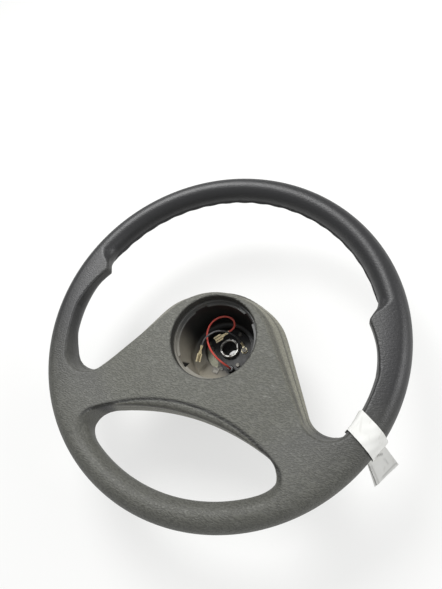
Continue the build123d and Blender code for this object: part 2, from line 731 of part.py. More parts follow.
def on_mouth_lip(edge):
    """True for the front edge of the horn recess."""
    middle = edge @ 0.5
    return middle.Z > CUP_TOP_Z + MOUTH_LIP_R and hypot(middle.X, middle.Y - RECESS_Y) < MOUTH_R + MOUTH_LIP_R


frame = {
    "rim_ring": rim_ring(),
    "spoke_arm_left": spoke_arm(180 - ARM_DEG),
    "spoke_arm_right": spoke_arm(ARM_DEG),
}
solid_plate = disc(0, 0, PLATE_Z, PLATE_R, PLATE_T)
nodes = {
    **frame,
    **cover_pieces(moulded_cover([*frame.values(), solid_plate])),
    "hub_plate": hub_plate(),
    "hub_sleeve": hub_sleeve(),
    "horn_cup": horn_cup(),
    "contact_carrier": contact_carrier(),
    "slip_ring": slip_ring(),
    "carrier_rivets": Compound(children=rivets()),
    "feed_pin": feed_pin(),
    "contact_post": contact_post(),
    "cup_clip": cup_clip(),
    "earth_screw": earth_screw(),
    "earth_lug": earth_lug(),
    "red_wire": lead("red_wire", RED_ROUTE, RED_D),
    "dark_wire": lead("dark_wire", DARK_ROUTE, DARK_D),
    "red_terminal": terminal(RED_ROUTE, RED_FACING, RED_D, RED_BLADE_W),
    "dark_terminal": terminal(DARK_ROUTE, DARK_FACING, DARK_D, DARK_BLADE_W),
    "paper_tag": paper_tag(),
}
os.makedirs("parts", exist_ok=True)
for name, shape in nodes.items():
    export_step(shape, f"parts/{name}.step")
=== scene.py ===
import json
from itertools import product
from math import cos, hypot, pi, radians, sin

import bpy
import numpy as np
from mathutils import Matrix, Vector


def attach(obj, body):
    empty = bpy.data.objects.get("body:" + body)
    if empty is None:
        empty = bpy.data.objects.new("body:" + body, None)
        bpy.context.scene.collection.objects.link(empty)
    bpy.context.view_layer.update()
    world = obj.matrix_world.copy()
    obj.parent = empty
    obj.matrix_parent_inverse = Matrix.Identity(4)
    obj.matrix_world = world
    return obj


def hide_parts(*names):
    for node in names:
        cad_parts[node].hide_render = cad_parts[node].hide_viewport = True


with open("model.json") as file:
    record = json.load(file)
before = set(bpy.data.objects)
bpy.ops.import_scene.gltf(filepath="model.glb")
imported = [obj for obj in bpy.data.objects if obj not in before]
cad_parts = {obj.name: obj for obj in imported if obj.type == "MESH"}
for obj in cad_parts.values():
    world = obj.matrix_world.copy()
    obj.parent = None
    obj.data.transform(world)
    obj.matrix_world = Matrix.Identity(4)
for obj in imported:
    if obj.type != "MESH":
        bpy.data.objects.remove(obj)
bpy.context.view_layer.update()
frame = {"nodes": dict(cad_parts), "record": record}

# Sizes are in millimetres and angles in degrees, as in the solids; MM turns them into metres
MM = 0.001

# Rim: an oval section, with the finger band behind the inner side of its upper part
RIM_R, RIM_W, RIM_HALF, RIM_Z = 177.0, 13.0, 14.5, 95.0
RIM_IN_R = RIM_R - RIM_W
BAND_RISE, BAND_TOP, BAND_LIP, BAND_FOOT, BAND_ROOT = 0.9, 3.5, 0.8, 10.5, 8.0
BAND_SINK, BAND_RUN_IN, BAND_FADE = 0.5, 14.0, 4.0
BAND_FOOT_IN, BAND_FOOT_UP, BAND_EDGE_R, BAND_FOOT_R = 3.6, 5.4, 0.5, 1.0
FINGER_DEPTH, FINGER_COUNT = 1.8, 20

# Plate of hub and spokes: front, back, the lips of its edges and the lines pressed into it
FACE_Z, BACK_Z, FLAT_R = 100.5, 71.0, 112.0
LIP_R, ARCH_LIP_R, ARCH_LIP_MIN_R, BACK_LIP_R = 3.5, 7.0, 2.0, 2.0
PARTING_Z, PARTING_DEPTH, PARTING_W = 86.0, 0.5, 0.9
ARCH_LINE_DEPTH, ARCH_LINE_W = 0.7, 1.1
LINE_REACH, LINE_FADE = 5.0, 3.0
HUB_TOP_Y, HUB_R, TOP_FLARE, SIDE_FLARE = 41.0, 65.0, 6.0, 14.5
FLARE_FROM, FLARE_RUN = 10.0, 58.0
SPOKE_SLOPE, SPOKE_TURN, SPOKE_FILLET = 56.0, 5.0, 24.0
FLANK_TOP_Z, FLANK_FOOT_Z = 98.0, 80.0

# Grips and their thumb bumps, and the fillet between plate and rim, which ends below the crest
GRIP_Y, GRIP_DRAFT, GRIP_LIP_R, GRIP_BACK_R, GRIP_LIFT = -22.0, 0.5, 2.2, 11.0, 10.5
GRIP_FROM_R, GRIP_RUN_R, GRIP_FROM_Y, GRIP_RUN_Y = 118.0, 28.0, -66.0, 34.0
BUMP_DEG, BUMP_RISE, NOTCH_DEG, BUMP_TIP_R = 15.0, 12.8, 5.8, 2.0
BUMP_LIP_R, BUMP_ROOT_R, BUMP_ROOT_FROM, BUMP_ROOT_RUN = 1.0, 6.0, 155.0, 10.0
RIM_BLEND_R = 8.0
CREST_INSET, CREST_FROM_R, CREST_LIFT, CREST_RUN = 6.0, 160.0, 4.0, 9.0

# Lower opening, and the crease in which the rolled lip over it begins
ARCH_TOP_Y, ARCH_R, ARCH_END_R = -90.0, 240.0, 37.0
ARCH_DRAFT, ARCH_SEAT, ARCH_FADE = 1.0, 8.0, 14.0
CREASE_TOP_Y, CREASE_R, CREASE_END_R = -82.3, 168.0, 22.0

# Horn recess, and the cup in it with its ledge, slots and three-cornered notch (angle, height)
RECESS_Y, MOUTH_R, MOUTH_LIP_R, MOUTH_OVERLAP = -9.0, 45.0, 1.2, 3.0
CUP_R, CUP_FOOT_R, CUP_TOP_Z, CUP_WALL, CUP_CORNER_R = 46.0, 40.0, 90.0, 2.5, 6.0
CUP_EDGE, HOLE_EDGE, FLOOR_Z = 0.4, 0.3, 39.0
LEDGE_W, LEDGE_H, LEDGE_DROP = 3.0, 2.5, 6.0
SLOT_DEGS, SLOT_HALF, SLOT_EDGE, SLOT_LIP = (48.0, 132.0, 228.0, 312.0), 9.6, 1.0, 0.6
CUP_NOTCH = ((224.0, 80.9), (217.0, 54.5), (238.2, 82.5))
CUP_NOTCH_DEPTH, CUP_NOTCH_EDGE = 2.0, 0.7
WELL_R, WELL_Y = 26.5, -2.0
POST_AT, POST_R, POST_GAP = (11.0, -25.0), 4.0, 1.5
PLATE_Z, PLATE_TOP_Z = 25.0, 29.0

# Bell behind the hub: height, radius and place in y of three rings
BELL_RINGS = ((8.0, 42.0, 0.0), (39.0, 52.0, -4.0), (71.0, 60.0, -9.0))
BELL_END_R, BELL_ROOT_R, BELL_OVERLAP, BELL_LEAN, BACK_WELL_R = 3.0, 5.0, 4.0, 0.96, 34.0

# Cover's mesh, and where its finish changes: mostly a start and the run after it
COVER_STEP = 1.7
COVER_LOW, COVER_HIGH = (-191.7, -191.7, 5.3), (191.7, 191.7, 113.0)
PLATE_NEAR = 6.0
PALE_FROM_R, PALE_RUN_R = 110.0, 58.0
# The lower rim is painted paler towards its bottom: painted light
LOW_RIM_PALE, LOW_RIM_FROM_Y, LOW_RIM_RUN_Y = 0.75, -10.0, 120.0
STEEP_FROM, STEEP_RUN = 0.5, 0.4
# The steep flank is painted paler olive: painted light
FLANK_FROM_R, FLANK_RUN_R, FLANK_CLEAR = 120.0, 26.0, 1.5
# The recess's mouth wall is painted near black: painted shade
MOUTH_DARK, MOUTH_DARK_RUN = 0.2, 0.8

# Leads with the solids' own routes and their diameters, and their terminals
RED_D, DARK_D, RED_BLADE_W, DARK_BLADE_W = 2.2, 1.8, 7.4, 5.6
RED_FACING, DARK_FACING = (0.25, -0.45, 0.86), (0.45, -0.40, 0.80)
RED_ROUTE = (
    (11.0, -25.0, 41.5), (11.0, -25.0, 48.0), (5.2, -23.9, 53.4), (-4.0, -20.0, 57.0),
    (-12.5, -13.5, 59.5), (-19.0, -4.0, 61.5), (-21.5, 6.0, 63.5), (-19.5, 15.0, 65.0),
    (-14.0, 22.0, 66.0), (-6.5, 26.0, 65.5), (0.5, 27.0, 63.0), (5.6, 23.4, 59.2),
    (4.8, 17.8, 53.6), (0.0, 13.6, 52.2),
)
DARK_ROUTE = (
    (11.8, 9.4, 34.4), (9.8, 11.0, 40.2), (6.4, 11.6, 47.6), (1.2, 11.4, 55.4),
    (-4.6, 10.0, 61.8), (-10.0, 7.0, 66.0), (-15.6, 1.4, 67.6), (-21.7, -5.6, 65.1),
    (-22.5, -11.5, 61.5),
)
TERMINAL_L, TERMINAL_T, BOX_AT, BOX_FOLD_R = 19.5, 0.38, 10.6, 1.15

# Paper tag: the strip round the rim, and the flag's two sheets, each with two corners under the
# strip and then the two that hang free
TAG_DEG, TAG_SKEW, TAG_W, TAG_T, TAG_PLAY = -21.49, 13.5, 21.0, 0.4, 0.8
TAG_REACH, TAG_SAG, TAG_TUCK, TAG_CORNER_R = 2.9, 1.5, 1.0, 3.0
TAG_HUG, TAG_HUG_DROP, TAG_SLACK = 5.1, 0.36, 1.14
FLAG_CORNERS = (
    ((166.9, -80.8, 82.4), (175.3, -62.7, 82.4), (193.0, -79.0, 75.0), (180.4, -99.6, 71.5)),
    ((166.4, -81.4, 81.8), (175.6, -62.3, 81.8), (194.4, -77.6, 74.2), (178.6, -101.6, 70.6)),
)

# Camera, at the photograph's viewing angle
CAMERA_AT = (0.15978, -0.13217, 0.52774)
CAMERA_RIGHT = (0.92311, 0.30265, -0.23722)
CAMERA_UP = (-0.18261, 0.88792, 0.42220)
FOCAL_PX, PHOTO_H, SENSOR = 460.0, 589.0, 36.0

# Studio, in metres: the floor, the sky, and each lamp's place, width and power
FLOOR_HALF, FLOOR_GLOW, SKY_STRENGTH = 4.0, 0.62, 0.55
LAMP_TARGET = (0, 0, 0.08)
LAMPS = (
    ("key_lamp", (-0.45, 0.55, 1.05), 0.6, 13.0),
    ("right_lamp", (1.15, 0.35, 0.8), 0.8, 9.0),
)

SLOT_OF = {row["node"]: row["material_slot"] for row in frame["record"]["subparts"]}


def aim_camera():
    """Stands the camera at its place with its right and up directions, and its focal length."""
    data = bpy.data.cameras.new("camera")
    data.sensor_fit = "VERTICAL"
    data.sensor_height = SENSOR
    data.lens = SENSOR * FOCAL_PX / PHOTO_H
    data.clip_start = 0.01
    camera = bpy.data.objects.new("camera", data)
    right, up = Vector(CAMERA_RIGHT), Vector(CAMERA_UP)
    turn = Matrix((right, up, right.cross(up))).transposed().to_4x4()
    camera.matrix_world = Matrix.Translation(CAMERA_AT) @ turn
    bpy.context.scene.collection.objects.link(camera)
    bpy.context.scene.camera = camera


class Wire:
    """A shader socket that Python's operators work on: every operation adds one Math node."""

    def __init__(self, tree, socket=None):
        self.tree = tree
        self.socket = socket

    def node(self, kind, settings=None, sockets=None, out=0):
        """A node of any type: its settings first, then the values or links of its sockets."""
        made = self.tree.nodes.new(kind)
        for name, value in (settings or {}).items():
            setattr(made, name, value)
        for name, value in (sockets or {}).items():
            if isinstance(value, Wire):
                self.tree.links.new(value.socket, made.inputs[name])
            else:
                made.inputs[name].default_value = value
        return Wire(self.tree, made.outputs[out])

    def maths(self, operation, *values, clamp=False):
        """One Math node."""
        settings = {"operation": operation, "use_clamp": clamp}
        return self.node("ShaderNodeMath", settings, dict(enumerate(values)))

    def __add__(self, other):
        return self.maths("ADD", self, other)

    __radd__ = __add__

    def __sub__(self, other):
        return self.maths("SUBTRACT", self, other)

    def __rsub__(self, other):
        return self.maths("SUBTRACT", other, self)

    def __mul__(self, other):
        return self.maths("MULTIPLY", self, other)

    __rmul__ = __mul__

    def band(self, low, high):
        """0 below low, 1 above high, smooth between."""
        settings = {"interpolation_type": "SMOOTHSTEP", "clamp": True}
        return self.node("ShaderNodeMapRange", settings, {"Value": self, "From Min": low, "From Max": high})

    def limit(self):
        """The value held between 0 and 1."""
        return self.maths("MULTIPLY", self, 1.0, clamp=True)

    def root(self):
        """The square root."""
        return self.maths("SQRT", self)


def mix(share, first, second):
    """A colour between two others."""
    first = (*first, 1.0) if isinstance(first, tuple) else first
    second = (*second, 1.0) if isinstance(second, tuple) else second
    return share.node("ShaderNodeMix", {"data_type": "RGBA"}, {0: share, 6: first, 7: second}, out=2)


class Finish:
    """A material with one Principled shader, its Object coordinates and a few patterns at hand."""

    def __init__(self, name):
        self.material = bpy.data.materials.new(name)
        self.material.use_nodes = True
        self.tree = self.material.node_tree
        self.shader = self.tree.nodes["Principled BSDF"]
        self.start = Wire(self.tree)
        self.place = self.start.node("ShaderNodeTexCoord", out="Object")

    def axis(self, name):
        """One Object coordinate, in millimetres."""
        return self.start.node("ShaderNodeSeparateXYZ", sockets={0: self.place}, out=name) * (1 / MM)

    def mark(self, name):
        """A number that the mesh carries at each of its points."""
        return self.start.node("ShaderNodeAttribute", {"attribute_name": name}, out="Fac")

    def noise(self, pitch, detail=2.0, rough=0.5, stretch=(1, 1, 1)):
        """Noise from 0 to 1 whose lumps are about pitch millimetres wide."""
        place = self.place
        if stretch != (1, 1, 1):
            place = self.start.node("ShaderNodeMapping", sockets={"Vector": self.place, "Scale": stretch})
        sockets = {"Vector": place, "Scale": 1 / (pitch * MM), "Detail": detail, "Roughness": rough}
        return self.start.node("ShaderNodeTexNoise", sockets=sockets)

    def spot(self, x, y, near, far):
        """1 within a near distance from a point in plan, 0 past a far one."""
        across, along = self.axis("X") - x, self.axis("Y") - y
        return 1.0 - (across * across + along * along).root().band(near, far)

    def set(self, **values):
        """Links or sets the shader's sockets; a socket's name has _ for each space."""
        for name, value in values.items():
            socket = self.shader.inputs[name.replace("_", " ")]
            if isinstance(value, Wire):
                self.tree.links.new(value.socket, socket)
            else:
                socket.default_value = (*value, 1.0) if isinstance(value, tuple) else value
        return self

    def bump(self, height, depth, strength=1.0):
        """Relief of a height from 0 to 1, depth millimetres deep."""
        sockets = {"Height": height, "Distance": depth * MM, "Strength": strength}
        return self.set(Normal=self.start.node("ShaderNodeBump", sockets=sockets))


def foam_skin():
    """Leather-grained foam skin: charcoal on the upper rim, greyer on hub and spokes and, as painted light, on the
    lower rim; an olive flank painted paler as painted light on its steep sides, the rolled lip over the arch
    lighter as painted light, the arch's crease dark as painted shade, the recess's mouth wall near black as
    painted shade, a dark line round the flank and a darker band at its top, dust, a smudge and a few scuffs."""
    f = Finish("foam_skin")
    pale, flank, arch, over, mouth = (f.mark(name) for name in ("pale", "flank", "arch", "over", "mouth"))
    height = f.axis("Z")
    drift = f.noise(60.0, 3.0)
    dust = f.noise(9.0, 4.0, 0.6)
    fine = f.noise(1.2, 2.0, 0.5)
    pebble = f.noise(1.25, 2.0, 0.5, (0.5, 1.0, 1.0)).band(0.34, 0.64)
    rim = mix(drift, (0.012, 0.012, 0.013), (0.020, 0.020, 0.021))
    face = mix(drift, (0.097, 0.097, 0.081), (0.126, 0.126, 0.106))
    # pale mixes the hub and spokes' own paler tone with painted light that makes the lower rim paler
    colour = mix(pale, rim, face)
    colour = mix((dust.band(0.45, 0.75) * 0.3 * pale).limit(), colour, (0.165, 0.164, 0.152))
    # Painted light: the steep flank is painted paler olive
    colour = mix((flank * 0.8).limit(), colour, (0.262, 0.254, 0.198))
    # Painted light: the rolled lip over the arch is painted lighter
    lip = arch.band(1.0, 2.4) * over
    colour = mix((lip * 0.25).limit(), colour, (0.17, 0.17, 0.155))
    # Painted shade: the crease over the arch is painted dark; lines also holds the parting line round the flank
    # and a darker band at the flank's top
    arch_line = (arch.band(-3.6, -0.2) - arch.band(0.3, 1.8)).limit() * over
    flank_line = height.band(PARTING_Z - 1.2, PARTING_Z - 0.3) - height.band(PARTING_Z + 0.3, PARTING_Z + 1.2)
    flank_line = flank_line.limit() * flank
    flank_top = (height.band(91.0, 96.0) - height.band(99.0, 100.4)).limit() * flank * 0.8
    lines = arch_line * 1.1 + flank_line * 0.8 + flank_top
    colour = mix((lines * (0.6 + 0.5 * dust)).limit(), colour, (0.014, 0.014, 0.012))
    scratch = f.noise(1.6, 3.0, 0.6, (0.22, 1.0, 1.0)).band(0.60, 0.68) * f.spot(70.5, -48.5, 4.0, 11.0)
    colour = mix((scratch * 0.7).limit(), colour, (0.30, 0.30, 0.28))
    smudge = f.spot(64.2, -74.4, 0.5, 5.5) * fine.band(0.35, 0.6)
    # The smudge is dirt; the mouth mark paints the recess's mouth wall near black as painted shade
    colour = mix((smudge * 0.3 + mouth * 0.8).limit(), colour, (0.016, 0.016, 0.015))
    colour = mix(((1.0 - pebble) * 0.36).limit(), colour, (0.012, 0.012, 0.012))
    f.set(Base_Color=colour, Roughness=(0.43 + 0.10 * pale + 0.12 * (dust - 0.5)).limit())
    f.bump((pebble * 0.8 + fine * 0.3) * (0.22 + 0.78 * pale), 0.55, 0.7)
    return f.material


def cup_plastic():
    """Matt black plastic, paler on the lower side of the cup and deeper down, partly dust and partly painted light
    where the light falls in;
    painted black in the notch as painted shade and a little greyer above the ledge as painted light."""
    f = Finish("cup_plastic")
    x, y, z = (f.axis(name) for name in "XYZ")
    # Dust and painted light: the lower side, more so deep down, is painted paler in clouds
    low = (x * -0.42 + (y - RECESS_Y) * -0.9).band(4.0, 40.0)
    deep = 1.0 - z.band(40.0, 84.0)
    cloud = f.noise(6.0, 5.0, 0.65)
    share = (low * (0.55 + 0.45 * deep) * (0.75 + 0.5 * cloud)).limit()
    colour = mix(share, (0.012, 0.012, 0.012), (0.40, 0.37, 0.30))
    # Painted light: a greyer band on the cup's rim above the ledge
    edge = z.band(83.0, 84.0) * 0.35
    colour = mix(edge.limit(), colour, (0.17, 0.17, 0.16))
    # Painted shade: the notch is painted black
    colour = mix(f.mark("notch"), colour, (0.008, 0.008, 0.008))
    f.set(Base_Color=colour, Roughness=(0.42 + 0.4 * share).limit())
    f.bump(f.noise(0.7, 2.0), 0.08, 0.4)
    return f.material


def plated_steel():
    """Yellow-green passivated steel, shown only in a crescent on its lower left, where the light falls, with
    greasy spots in it; elsewhere painted black as painted shade.
    """
    f = Finish("plated_steel")
    cloud = f.noise(5.0, 4.0, 0.6)
    spots = f.noise(1.6, 3.0, 0.6).band(0.56, 0.7)
    # Painted shade: the plate is painted black except a crescent on its lower left, where the light falls; the
    # spots in the crescent are grease
    clean = (f.axis("X") * -0.75 + f.axis("Y") * -0.66 + cloud * 8.0).band(20.0, 25.0)
    shade_and_grease = (1.0 - clean * (1.0 - 0.6 * spots)).limit()
    colour = mix(cloud, (0.22, 0.215, 0.15), (0.50, 0.49, 0.39))
    colour = mix(shade_and_grease, colour, (0.010, 0.010, 0.010))
    f.set(Base_Color=colour, Metallic=(clean * 0.6).limit(), Roughness=(0.32 + 0.25 * cloud).limit())
    f.bump(f.noise(0.8, 2.0), 0.06, 0.5)
    return f.material


def turned_steel():
    """Turned steel with fine tool rings and brown rust in patches; the inside of the bore is painted black as
    painted shade.
    """
    f = Finish("turned_steel")
    rust = f.noise(3.0, 5.0, 0.65).band(0.48, 0.66)
    rings = f.noise(0.5, 2.0, 0.5, (0.05, 0.05, 1.0))
    colour = mix(rust * 0.8, (0.42, 0.42, 0.40), (0.15, 0.10, 0.065))
    colour = mix(rings.band(0.55, 0.7) * 0.5, colour, (0.05, 0.045, 0.04))
    x, y = f.axis("X"), f.axis("Y")
    # Painted shade: the inside of the bore is painted black, matt and without metal
    bore = (1.0 - (x * x + y * y).root().band(8.9, 9.3)) * (1.0 - f.axis("Z").band(32.6, 33.2))
    colour = mix(bore * 0.95, colour, (0.010, 0.010, 0.010))
    f.set(Base_Color=colour, Metallic=((0.75 - rust * 0.5) * (1.0 - bore)).limit())
    f.set(Roughness=(0.30 + 0.35 * rust + 0.1 * rings + 0.5 * bore).limit())
    f.bump(rings, 0.06, 0.6)
    return f.material


def frame_steel():
    """Hot-rolled steel with dark scale."""
    f = Finish("frame_steel")
    scale = f.noise(6.0, 4.0, 0.6)
    f.set(Base_Color=mix(scale, (0.12, 0.12, 0.125), (0.27, 0.26, 0.25)), Metallic=1.0)
    f.set(Roughness=(0.4 + 0.25 * scale).limit())
    f.bump(f.noise(0.9, 2.0), 0.06, 0.4)
    return f.material


def carrier_plastic():
    """Black moulded plastic with a satin surface and some dust."""
    f = Finish("carrier_plastic")
    dust = f.noise(3.0, 4.0, 0.6).band(0.5, 0.8)
    f.set(Base_Color=mix(dust * 0.3, (0.010, 0.010, 0.011), (0.08, 0.075, 0.07)))
    f.set(Roughness=(0.30 + 0.3 * dust).limit())
    f.bump(f.noise(0.6, 2.0), 0.04, 0.35)
    return f.material


def contact_brass():
    """Brass with darker tarnish in specks; its base is raised near white with little metal, standing in for bright
    reflections as painted light, and it is dark as painted shade in the slits under its rolled edges.
    """
    f = Finish("contact_brass")
    tarnish = f.noise(1.6, 4.0, 0.6).band(0.5, 0.75)
    # Painted light: the pale base with little metal stands in for the brass's bright reflections
    colour = mix(tarnish * 0.35, (1.0, 0.88, 0.58), (0.62, 0.46, 0.20))
    f.set(Base_Color=mix(f.mark("slit_shade") * 0.9, colour, (0.08, 0.04, 0.01)), Metallic=0.15)
    f.set(Roughness=(0.30 + 0.2 * tarnish).limit())
    f.bump(f.noise(0.5, 2.0), 0.03, 0.4)
    return f.material


def rivet_steel():
    """Plated steel of small fasteners, dull and greasy in places."""
    f = Finish("rivet_steel")
    cloud = f.noise(3.0, 3.0, 0.6)
    f.set(Base_Color=mix(cloud.band(0.35, 0.65), (0.10, 0.095, 0.085), (0.24, 0.23, 0.20)), Metallic=0.4)
    f.set(Roughness=(0.40 + 0.2 * cloud).limit())
    f.bump(f.noise(0.5, 2.0), 0.03, 0.4)
    return f.material


def insulation(name, clean, dirty):
    """Soft wire insulation, dusty in places."""
    f = Finish(name)
    dust = f.noise(4.0, 4.0, 0.6).band(0.4, 0.75)
    f.set(Base_Color=mix(dust * 0.6, clean, dirty), Roughness=(0.34 + 0.25 * dust).limit())
    f.bump(f.noise(0.8, 2.0), 0.03, 0.3)
    return f.material


def tag_paper():
    """Warm white paper with fibres and soft folds; painted shade makes the soft folds and the flag, where the
    crease mark is high, a little greyer, and the sharp lines of the fold mark dark."""
    f = Finish("tag_paper")
    crease = f.mark("crease")
    fibre = f.noise(1.2, 4.0, 0.6)
    cloud = f.noise(11.0, 3.0)
    folds = f.noise(5.0, 2.0, 0.5, (1.0, 0.35, 1.0)).band(0.56, 0.64)
    colour = mix(cloud, (0.64, 0.64, 0.61), (0.74, 0.74, 0.72))
    # Painted shade: greyer in the soft folds and on the flag
    colour = mix((crease * 0.1 + folds * 0.3).limit(), colour, (0.50, 0.49, 0.46))
    # Painted shade: dark along the fold mark's lines
    colour = mix((f.mark("fold") * 0.8).limit(), colour, (0.10, 0.095, 0.09))
    f.set(Base_Color=colour, Roughness=(0.75 + 0.1 * fibre).limit())
    f.bump(fibre * 0.4 + folds * 0.6, 0.12, 0.5)
    return f.material


MATERIALS = {
    "foam_skin": foam_skin(),
    "cup_plastic": cup_plastic(),
    "plated_steel": plated_steel(),
    "turned_steel": turned_steel(),
    "frame_steel": frame_steel(),
    "carrier_plastic": carrier_plastic(),
    "contact_brass": contact_brass(),
    "rivet_steel": rivet_steel(),
    "red_insulation": insulation("red_insulation", (0.62, 0.075, 0.055), (0.62, 0.19, 0.15)),
    "dark_insulation": insulation("dark_insulation", (0.10, 0.10, 0.105), (0.24, 0.24, 0.235)),
    "tag_paper": tag_paper(),
}


def put_on_wheel(piece, nodes):
    """Lets a new piece ride on the wheel, with its finish and the solids that it stands for."""
    bpy.context.scene.collection.objects.link(piece)
    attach(piece, "root")
    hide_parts(*nodes)
    return piece


def new_piece(name, points, faces, slot, nodes, marks, normals=None, crisp=None):
    """A smooth mesh at the origin, its points given in millimetres: with its own normals, or with
    crisp edges past an angle."""
    mesh = bpy.data.meshes.new(name)
    mesh.from_pydata((np.asarray(points, float) * MM).tolist(), [], np.asarray(faces).tolist())
    mesh.polygons.foreach_set("use_smooth", np.full(len(mesh.polygons), True))
    for key, values in marks.items():
        mesh.attributes.new(key, "FLOAT", "POINT").data.foreach_set("value", np.asarray(values, np.float32))
    mesh.materials.append(MATERIALS[slot])
    if normals is not None:
        mesh.normals_split_custom_set_from_vertices(normals.tolist())
    if crisp is not None:
        mesh.set_sharp_from_angle(angle=radians(crisp))
    mesh.validate()
    return put_on_wheel(bpy.data.objects.new(name, mesh), nodes)


def grid_faces(rows, columns, close_rows=False, close_columns=False):
    """The quads of a grid of points stored row by row, wrapped round where it closes."""
    i = np.arange(rows if close_rows else rows - 1)
    j = np.arange(columns if close_columns else columns - 1)
    i, j = (a.ravel() for a in np.meshgrid(i, j, indexing="ij"))
    i2, j2 = (i + 1) % rows, (j + 1) % columns
    return np.stack([i * columns + j, i * columns + j2, i2 * columns + j2, i2 * columns + j], 1)


def rounded_both(a, b, radius):
    """Where two distances are both inside, their edge rounded off by a radius."""
    corner = np.hypot(np.maximum(a + radius, 0), np.maximum(b + radius, 0))
    return np.minimum(np.maximum(a, b), -radius) + corner


def rounded_either(a, b, radius):
    """Where either of two distances is inside, their inner corner filled by a fillet of a radius."""
    corner = np.hypot(np.maximum(radius - a, 0), np.maximum(radius - b, 0))
    return np.maximum(np.minimum(a, b), radius) - corner


def ease(value):
    """A smooth step from 0 to 1."""
    value = np.clip(value, 0, 1)
    return value * value * (3 - 2 * value)


def upper_plan(x, y, z):
    """Distance in plan to the material round the upper opening, negative inside it: the hub's arc and
    the spoke edges that touch it, which spread towards the back, and the grips, which follow the rim
    and end in the bumps. A circle that touches the spoke edge and the rim fills the corner between."""
    side = np.abs(x)
    depth = (FACE_Z - z) / (FACE_Z - BACK_Z)
    rise = y - (HUB_TOP_Y - HUB_R)
    drop = np.clip((FLANK_TOP_Z - z) / (FLANK_TOP_Z - FLANK_FOOT_Z), 0, 1)
    turned = ease((np.degrees(np.arctan2(side, rise)) - FLARE_FROM) / FLARE_RUN)
    hub_r = HUB_R + drop * (TOP_FLARE + (SIDE_FLARE - TOP_FLARE) * turned)
    slope = np.radians(SPOKE_SLOPE + drop * SPOKE_TURN)
    arc = np.hypot(side, rise) - hub_r
    edge = side * np.sin(slope) + rise * np.cos(slope) - hub_r
    hub = np.where(side * np.cos(slope) < rise * np.sin(slope), arc, edge)
    tip_r = RIM_IN_R - BUMP_RISE - depth * GRIP_DRAFT
    tip_x, tip_y = tip_r * cos(radians(BUMP_DEG)), tip_r * sin(radians(BUMP_DEG))
    reach = RIM_IN_R - depth * GRIP_DRAFT
    grip_r = ((reach - tip_x) ** 2 + (tip_y - GRIP_Y) ** 2) / (2 * (reach - tip_x))
    grip = grip_r - np.hypot(side - reach + grip_r, y - GRIP_Y)
    notch = radians(BUMP_DEG + NOTCH_DEG)
    along_x, along_y = RIM_IN_R * cos(notch) - tip_x, RIM_IN_R * sin(notch) - tip_y
    bump = ((y - tip_y) * along_x - (side - tip_x) * along_y) / np.hypot(along_x, along_y)
    r = np.hypot(x, y)
    grip = rounded_both(np.minimum(grip, RIM_IN_R - r), bump, BUMP_TIP_R)
    reach_in = hub_r + SPOKE_FILLET - (HUB_R - HUB_TOP_Y) * np.cos(slope)
    aside = np.sqrt((RIM_IN_R - SPOKE_FILLET) ** 2 - reach_in ** 2)
    off_x = side - reach_in * np.sin(slope) - aside * np.cos(slope)
    off_y = y - reach_in * np.cos(slope) + aside * np.sin(slope)
    past_spoke = off_x * np.cos(slope) - off_y * np.sin(slope) > 0
    past_rim = (side - off_x) * off_y - (y - off_y) * off_x < 0
    fillet = SPOKE_FILLET - np.hypot(off_x, off_y)
    return np.where(past_spoke & past_rim & (off_y < 0), fillet, np.minimum(hub, grip))


def under_arch(x, y, top, radius, end_r, inset=0.0):
    """Distance in plan to the material round an opening with an arch above and the rim below."""
    arch = np.hypot(x, y - top + radius) - radius + inset
    foot = np.hypot(x, y) - RIM_R + ARCH_SEAT + inset
    return -rounded_both(arch, foot, end_r - inset)


def lower_plan(x, y, depth):
    """Distance in plan to the material round the lower opening, which narrows towards the back."""
    return under_arch(x, y, ARCH_TOP_Y, ARCH_R, ARCH_END_R, depth * ARCH_DRAFT)


def crease_plan(x, y):
    """Distance in plan to the crease in which the rolled lip over the lower opening begins."""
    return under_arch(x, y, CREASE_TOP_Y, CREASE_R, CREASE_END_R)


def over_arch(x, y):
    """1 above the lower opening's arch, easing to 0 past its round ends and on the rim below."""
    arch = np.hypot(x, y - ARCH_TOP_Y + ARCH_R) - ARCH_R
    foot = np.hypot(x, y) - RIM_R + ARCH_SEAT
    return ease((arch - foot + ARCH_FADE) / (2 * ARCH_FADE))


def rim_field(x, y, z):
    """Distance to the oval rim with the finger band behind its upper inner side: a step whose inner
    side is plain in front and goes over into soft waves, one cosine for each finger, behind."""
    r = np.hypot(x, y)
    rim = np.hypot((r - RIM_R) * (RIM_HALF / RIM_W), z - RIM_Z) - RIM_HALF
    start = radians(BUMP_DEG + NOTCH_DEG)
    angle = np.arctan2(y, x)
    wave = 0.5 - 0.5 * np.cos(2 * pi * FINGER_COUNT * (angle - start) / (pi - 2 * start))
    behind = ease((RIM_Z - BAND_TOP - BAND_LIP - z) / BAND_FADE)
    from_end = (pi / 2 - start - np.abs(angle - pi / 2)) * RIM_R
    edge_r = RIM_IN_R + BAND_SINK - (BAND_RISE + BAND_SINK) * ease((from_end + 1.0) / BAND_RUN_IN)
    inner = edge_r + FINGER_DEPTH * wave * behind - r
    top = ((RIM_IN_R - r) * BAND_LIP + (z - RIM_Z + BAND_TOP) * BAND_RISE) / hypot(BAND_LIP, BAND_RISE)
    foot = (edge_r - r) * BAND_FOOT_IN + (RIM_Z - BAND_FOOT + BAND_FOOT_IN - z) * BAND_FOOT_UP
    foot = foot / hypot(BAND_FOOT_IN, BAND_FOOT_UP)
    band = rounded_both(rounded_both(inner, top, BAND_EDGE_R), foot, BAND_FOOT_R)
    band = np.maximum(band, r - RIM_R + BAND_ROOT)
    return np.minimum(rim, np.maximum(band, -from_end))


